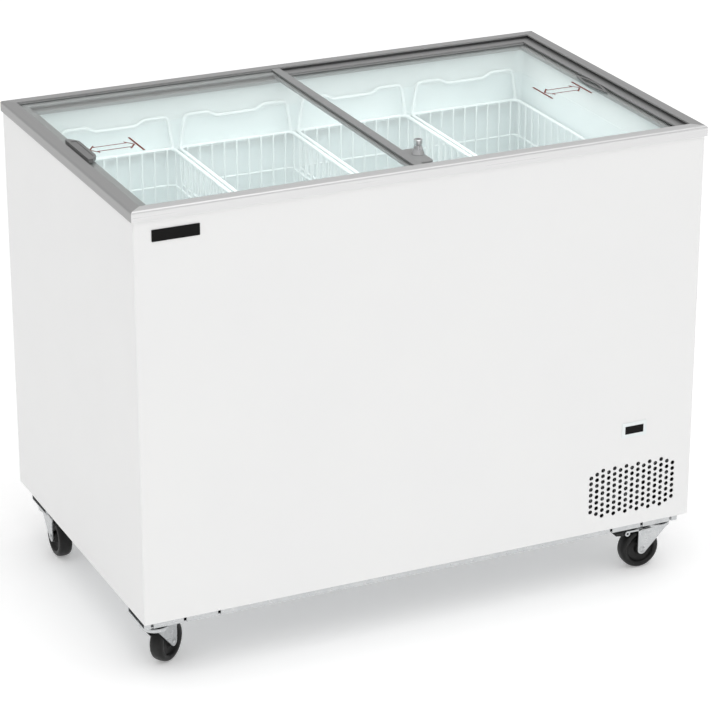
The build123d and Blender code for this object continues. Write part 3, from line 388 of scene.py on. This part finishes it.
def wire_basket(number):
    """A plastic-coated wire basket: rim, U-shaped wires both ways, two bands round the tub and two hoops."""
    node = f"basket_{number}"
    low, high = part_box(node)
    middle_x = (low.x + high.x) / 2
    rim_z = high.z - HOOP_RISE
    half_x = (high.x - low.x) / 2 - 4 * MM
    half_y = (high.y - low.y) / 2 - 5 * MM
    tub_x = half_x - 2 * MM
    tub_y = half_y - 4 * MM
    floor_z = low.z + RIM_WIRE

    def loop(x, y, z):
        """A level ring round the tub with rounded corners."""
        corners = [(middle_x - x, -y, z), (middle_x + x, -y, z), (middle_x + x, y, z), (middle_x - x, y, z)]
        return rounded_path(corners, TUB_CORNER, closed=True)

    coat = finishes["basket_coat"]
    rim_loop = loop(half_x, half_y, rim_z - RIM_WIRE)
    thick = wire(f"basket_{number}_rim", [rim_loop], RIM_WIRE, coat, True)
    bands = [loop(tub_x + WIRE, tub_y + WIRE, rim_z - drop) for drop in BAND_DROPS]
    rings = wire(f"basket_{number}_bands", bands, WIRE * 1.2, coat, True)
    across = []
    count = int(2 * tub_y / WIRE_PITCH)
    for i in range(count + 1):
        y = -tub_y + END_GAP + i * (2 * tub_y - 2 * END_GAP) / count
        across.append(rounded_path([
            (middle_x - tub_x, y, rim_z - RIM_WIRE), (middle_x - tub_x, y, floor_z),
            (middle_x + tub_x, y, floor_z), (middle_x + tub_x, y, rim_z - RIM_WIRE)], WIRE_BEND))
    count = int(2 * tub_x / WIRE_PITCH)
    for i in range(count + 1):
        x = middle_x - tub_x + END_GAP + i * (2 * tub_x - 2 * END_GAP) / count
        across.append(rounded_path([
            (x, -tub_y, rim_z - RIM_WIRE), (x, -tub_y, floor_z + 2 * WIRE),
            (x, tub_y, floor_z + 2 * WIRE), (x, tub_y, rim_z - RIM_WIRE)], WIRE_BEND))
    grid = wire(f"basket_{number}_wires", across, WIRE, coat)
    hoops = []
    top_z = high.z - HOOP_WIRE
    for side in (-1, 1):
        y = side * (half_y - MM)
        left = [(-HOOP_FOOT, rim_z - RIM_WIRE), (-HOOP_SHOULDER, top_z), (-DIP_TOP, top_z),
                (-DIP_FLOOR, top_z - HOOP_DIP)]
        outline = left + [(-x, z) for x, z in reversed(left)]
        hoops.append(rounded_path([(middle_x + x, y, z) for x, z in outline], WIRE_BEND))
    handle = wire(f"basket_{number}_hoops", hoops, HOOP_WIRE, coat)
    for piece in (thick, rings, grid, handle):
        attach(piece, node)
    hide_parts(node)


for number in (1, 2, 3, 4):
    wire_basket(number)


# ---------------------------------------------------------------- slide marks on the panes
def stroke(build, points, width, z, closed=False):
    """A flat printed line of that width through the points, mitred at its corners."""
    count = len(points)
    sides = []
    for i, point in enumerate(points):
        here = Vector((*point, 0))
        before = here - Vector((*points[i - 1], 0)) if closed or i else None
        after = Vector((*points[(i + 1) % count], 0)) - here if closed or i < count - 1 else None
        before, after = (before or after).normalized(), (after or before).normalized()
        mitre = (before + after).normalized()
        normal = Vector((-mitre.y, mitre.x, 0))
        reach = width / 2 / max(0.35, normal.dot(Vector((-before.y, before.x, 0))))
        shift_x, shift_y = reach * normal.x, reach * normal.y
        edges = ((here.x - shift_x, here.y - shift_y, z), (here.x + shift_x, here.y + shift_y, z))
        sides.append([build.verts.new(edge) for edge in edges])
    for i in range(count if closed else count - 1):
        first, second = sides[i], sides[(i + 1) % count]
        build.faces.new((first[0], second[0], second[1], first[1]))


INK_LIFT = 0.12 * MM
BAR_LINE = 4.0 * MM
ARROW_LINE = 3.2 * MM
ARROW_GAP = 4 * MM


def slide_mark(name, body, pane, x0, x1, y_middle):
    """Two bars with a hollow double arrow between them, printed on the pane."""
    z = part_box(pane)[1].z + INK_LIFT
    bar = 37 * MM
    rise = 16 * MM
    head = 11 * MM
    shaft = 11 * MM
    left, right = x0 + ARROW_GAP, x1 - ARROW_GAP
    arrow = [(left, 0), (left + head, rise), (left + head, shaft), (right - head, shaft),
             (right - head, rise), (right, 0), (right - head, -rise), (right - head, -shaft),
             (left + head, -shaft), (left + head, -rise)]
    build = bmesh.new()
    for x in (x0, x1):
        stroke(build, [(x, y_middle - bar), (x, y_middle + bar)], BAR_LINE, z)
    stroke(build, [(x, y_middle + y) for x, y in arrow], ARROW_LINE, z, True)
    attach(piece_from(name, build, ink, False), body)


upper_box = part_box("upper_glass")
lower_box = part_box("lower_glass")
upper_end, lower_end = upper_box[0].x, lower_box[1].x
slide_mark("upper_mark", "upper_lid", "upper_glass", upper_end + 34 * MM, upper_end + 121 * MM, 6 * MM)
slide_mark("lower_mark", "lower_lid", "lower_glass", lower_end - 118 * MM, lower_end - 40 * MM, -5 * MM)


# ---------------------------------------------------------------- castors
def joint_named(name):
    """The frame's entry for one joint: its place and its axis."""
    return next(j for j in frame["joints"] if j["name"] == name)


def disc(x, y, radius, steps=32):
    """The points of a circle, in a plate's outline."""
    turn = [2 * math.pi * i / steps for i in range(steps)]
    return [(x + radius * math.cos(a), y + radius * math.sin(a)) for a in turn]


def hull(points):
    """The outline that goes round all the points."""
    return [points[i] for i in convex_hull_2d([Vector(p) for p in points])]


# Half profiles of the castor's round pieces, as radius and height in millimetres.
CROWN = ((6.2, -2.8), (23.6, -2.8), (25.2, -1.8), (25.5, -0.4), (25.5, 4.3), (25.1, 4.9),
         (24.3, 4.9), (23.8, 4.3), (23.5, 0.9), (22.6, 0), (6.2, 0), (6.2, -2.8))
AXLE_END = ((0, 18.4), (1.0, 18.4), (1.5, 19.1), (2.9, 19.2), (3.5, 18.6), (3.8, 17.9), (5.4, 17.9),
            (5.9, 17.2))
PEDAL_RIVET = ((0, 17.7), (1.9, 17.7), (2.1, 17.25))
WHEEL_HALF = ((4.05, 13.9), (7.6, 13.9), (9.2, 13.1), (9.9, 11.6), (10.6, 6.6), (12.4, 5.4),
              (22.6, 5.4), (24.6, 6.4), (25.8, 9.2), (26.8, 11.4), (28.6, 12.4), (31.6, 12.5),
              (34.2, 11.7), (36.1, 9.6), (37.2, 6.2), (37.5, 2.5))
RIM_ABOVE_CROWN = 5.0
EYE_REACH = 66.0
EYE_HEIGHT = 74.5
LEG_INNER = 14.7
LEG_OUTER = 17.0
LEG_END = 8.5
PIN_RADIUS = 4
PIN_HALF = 17.2


def both_ends(build, profile, place):
    """The same turned cap on both ends of a pin across the fork."""
    for sign in (-1, 1):
        turned(build, [(r * MM, sign * z * MM) for r, z in profile], place, 32)


def castor(corner, braked):
    """The visible fork and wheel of one castor, from its own joints."""
    swivel = Vector(joint_named(f"swivel_{corner}")["pos_m"])
    roll = joint_named(f"roll_{corner}")
    axle = Vector(roll["pos_m"])
    side = Vector(roll["axis"]).normalized()
    out = Vector((axle.x - swivel.x, axle.y - swivel.y, 0))
    trail = out.length / MM
    out.normalize()
    fork_at = Matrix((
        (out.x, side.x, 0, swivel.x), (out.y, side.y, 0, swivel.y), (0, 0, 1, 0), (0, 0, 0, 1)))
    stand = fork_at @ Matrix(((1, 0, 0, 0), (0, 0, 1, 0), (0, 1, 0, 0), (0, 0, 0, 1)))
    along_pin = side.to_track_quat("Z", "Y").to_matrix().to_4x4()
    across = Matrix.Translation(axle) @ along_pin
    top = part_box(f"castor_fork_{corner}")[1].z / MM - RIM_ABOVE_CROWN
    axle_z = axle.z / MM

    def plate(build, outline, inner, outer):
        """An upright plate of the fork, between two distances from its middle."""
        slab(build, [(x * MM, z * MM) for x, z in outline], inner * MM, outer * MM, stand)

    pressed = bmesh.new()
    for sign in (-1, 1):
        leg = hull([(-18, top - 0.3), (trail + LEG_END, top - 0.3), *disc(trail, axle_z, LEG_END)])
        plate(pressed, leg, *sorted((LEG_INNER * sign, LEG_OUTER * sign)))
        fold = [(trail - 3.5, axle_z + 9), (trail + 8.4, axle_z + 9), (trail + 8.4, top - 4),
                (trail - 3.5, top - 4)]
        plate(pressed, fold, *sorted((16.9 * sign, 17.4 * sign)))
        if braked:
            bar = [(trail + 4, top - 3.6), (EYE_REACH, top - 3.6), (EYE_REACH, top - 0.4),
                   (trail + 4, top - 0.4)]
            plate(pressed, bar, *sorted((LEG_INNER * sign, LEG_OUTER * sign)))
            plate(pressed, disc(EYE_REACH, EYE_HEIGHT, 5), *sorted((14.75 * sign, 17.15 * sign)))
    bridge = [(4, -LEG_OUTER), (trail + LEG_END, -LEG_OUTER), (trail + LEG_END, LEG_OUTER), (4, LEG_OUTER)]
    slab(pressed, [(x * MM, y * MM) for x, y in bridge], (top - 2.6) * MM, (top - 0.2) * MM, fork_at)
    fork = soften(piece_from(f"castor_{corner}_fork", pressed, finishes["zinc_plate"]), 0.6, 2)
    dish = bmesh.new()
    turned(dish, [(r * MM, (top + z) * MM) for r, z in CROWN], fork_at, 64)
    crown = soften(piece_from(f"castor_{corner}_crown", dish, finishes["zinc_plate"]), 0.3, 2)
    ends = bmesh.new()
    both_ends(ends, AXLE_END, across)
    turned(ends, [(PIN_RADIUS * MM, end * MM) for end in (-PIN_HALF, PIN_HALF)], across, 32)
    pin = piece_from(f"castor_{corner}_axle", ends, finishes["zinc_plate"])
    for made in (fork, crown, pin):
        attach(made, f"fork_{corner}")
    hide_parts(f"castor_fork_{corner}")
    if braked:
        eye = Matrix.Translation(fork_at @ Vector((EYE_REACH * MM, 0, EYE_HEIGHT * MM))) @ along_pin
        rivet = bmesh.new()
        both_ends(rivet, PEDAL_RIVET, eye)
        dot = piece_from(f"castor_{corner}_pedal_rivet", rivet, finishes["black_plastic"])
        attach(dot, f"fork_{corner}")

    tyre = bmesh.new()
    profile = [(r, -z) for r, z in WHEEL_HALF] + [(r, z) for r, z in reversed(WHEEL_HALF)] + [(4.05, -13.9)]
    turned(tyre, [(r * MM, z * MM) for r, z in profile], across, 72)
    wheel = piece_from(f"castor_{corner}_wheel", tyre, finishes["black_wheel"])
    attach(wheel, f"wheel_{corner}")
    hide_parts(f"castor_wheel_{corner}")


for corner in ("front_left", "front_right", "rear_left", "rear_right"):
    castor(corner, braked=corner.startswith("front"))


# ---------------------------------------------------------------- studio
scene = bpy.context.scene
scene.view_settings.view_transform = "Standard"
low, high = cad_box
centre = (low + high) / 2

SKY_SIDES = 0.4
SKY_TOP = 0.72
AZIMUTH = -24.798
ELEVATION = 22.453
DISTANCE = 5.2991
AIM_RIGHT = 0.010
AIM_UP = -0.0487
LENS = 149.7


def studio_camera():
    """A long lens from the front left, a little above."""
    a, e = math.radians(AZIMUTH), math.radians(ELEVATION)
    back = Vector((math.sin(a) * math.cos(e), -math.cos(a) * math.cos(e), math.sin(e)))
    right = Vector((math.cos(a), math.sin(a), 0))
    camera = bpy.data.objects.new("camera", bpy.data.cameras.new("camera"))
    camera.data.lens = LENS
    camera.data.clip_end = 60
    camera.location = centre + back * DISTANCE + right * AIM_RIGHT + back.cross(right) * AIM_UP
    camera.rotation_mode = "QUATERNION"
    camera.rotation_quaternion = (-back).to_track_quat("-Z", "Y")
    scene.collection.objects.link(camera)
    scene.camera = camera


def soft_box(name, place, aim, wide, tall, power, hidden=False):
    """A flat lamp turned to a point; a hidden one lights things without being seen itself."""
    lamp = bpy.data.lights.new(name, "AREA")
    lamp.shape = "RECTANGLE"
    lamp.size = wide
    lamp.size_y = tall
    lamp.energy = power
    box = bpy.data.objects.new(name, lamp)
    box.location = place
    box.rotation_mode = "QUATERNION"
    box.rotation_quaternion = (Vector(aim) - Vector(place)).to_track_quat("-Z", "Y")
    if hidden:
        box.visible_camera = box.visible_glossy = box.visible_transmission = False
    scene.collection.objects.link(box)


def studio_floor():
    """A pale light table that runs out of sight."""
    material, tree, shader = finish_of("pale_light_table", "#F6F6F6", 0.8, Emission_Strength=0.25)
    shader.inputs["Emission Color"].default_value = srgb("#FFFFFF")
    tint(tree, shader, pattern(tree, 900), "#F7F7F7", "#F5F5F5")
    build = bmesh.new()
    bmesh.ops.create_grid(build, x_segments=8, y_segments=8, size=30)
    floor = piece_from("studio_floor", build, material)
    floor.location.z = low.z - 0.2 * MM


def studio_sky():
    """Even light from all round, brighter overhead than at the sides."""
    world = bpy.data.worlds.new("studio_sky")
    world.use_nodes = True
    tree = world.node_tree
    place = add_node(tree, "ShaderNodeTexCoord")
    height = add_node(tree, "ShaderNodeSeparateXYZ", {"Vector": place.outputs["Generated"]})
    band = add_node(tree, "ShaderNodeMapRange", {"Value": height.outputs["Z"], "From Min": 0.0,
                                                 "From Max": 0.8, "To Min": SKY_SIDES, "To Max": SKY_TOP})
    tree.links.new(band.outputs["Result"], tree.nodes["Background"].inputs["Strength"])
    tree.nodes["Background"].inputs["Color"].default_value = srgb("#FFFFFF")
    scene.world = world


def overhead_light(strength, spread, tilt):
    """One very large soft lamp nearly overhead, tilted towards the front."""
    lamp = bpy.data.lights.new("overhead", "SUN")
    lamp.energy = strength
    lamp.angle = math.radians(spread)
    light = bpy.data.objects.new("overhead", lamp)
    light.rotation_euler = (math.radians(tilt), 0, 0)
    scene.collection.objects.link(light)


studio_camera()
studio_floor()
studio_sky()
overhead_light(strength=0.8, spread=60, tilt=14)
soft_box("front_box", centre + Vector((-0.4, -4.5, 1.2)), centre, wide=1.2, tall=1.2, power=10)
well = Vector((0, 0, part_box("lower_glass")[0].z - 4 * MM))
soft_box("well_box", well, well - Vector((0, 1e-4, 1)), wide=0.9, tall=0.44, power=1.7, hidden=True)
